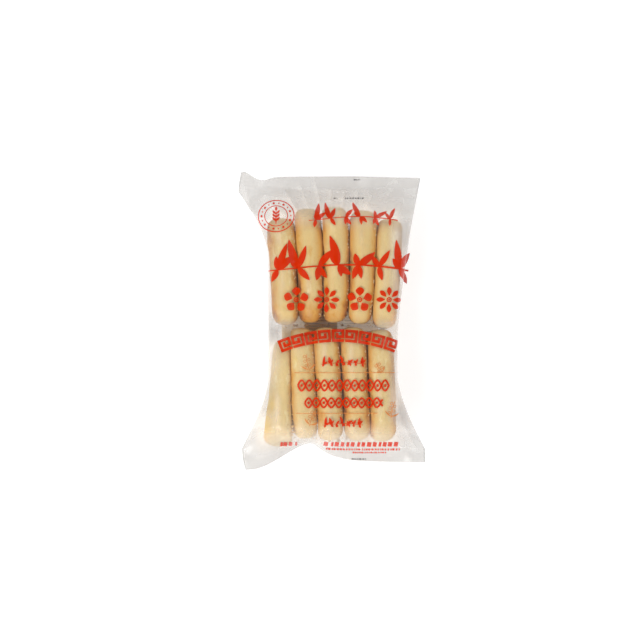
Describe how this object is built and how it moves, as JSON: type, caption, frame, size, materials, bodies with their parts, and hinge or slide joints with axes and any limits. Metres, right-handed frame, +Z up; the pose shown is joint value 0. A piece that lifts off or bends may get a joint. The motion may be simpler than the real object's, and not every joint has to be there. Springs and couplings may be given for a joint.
{
  "type": "sealed bag of flatbreads",
  "caption": "Clear sealed pillow bag filled with small flatbreads that stand on edge in two rows, with flared corners and thin end seals, lying shown side up.",
  "frame": {"origin": "middle of the flat underside, at the bottom centre of the bounding box", "axes": "+X across the bag to the right of its shown side, +Y along the bag towards its top seal, +Z up out of its shown side"},
  "size_m": [0.2104, 0.3348, 0.064],
  "materials": {
    "film": "clear, slightly milky plastic film, glossy",
    "bread": "pale baked dough with golden broad faces, dusted with flour",
    "ink": "red printing ink on film"
  },
  "bodies": {
    "root": {"bag": "film"}
  },
  "joints": []
}
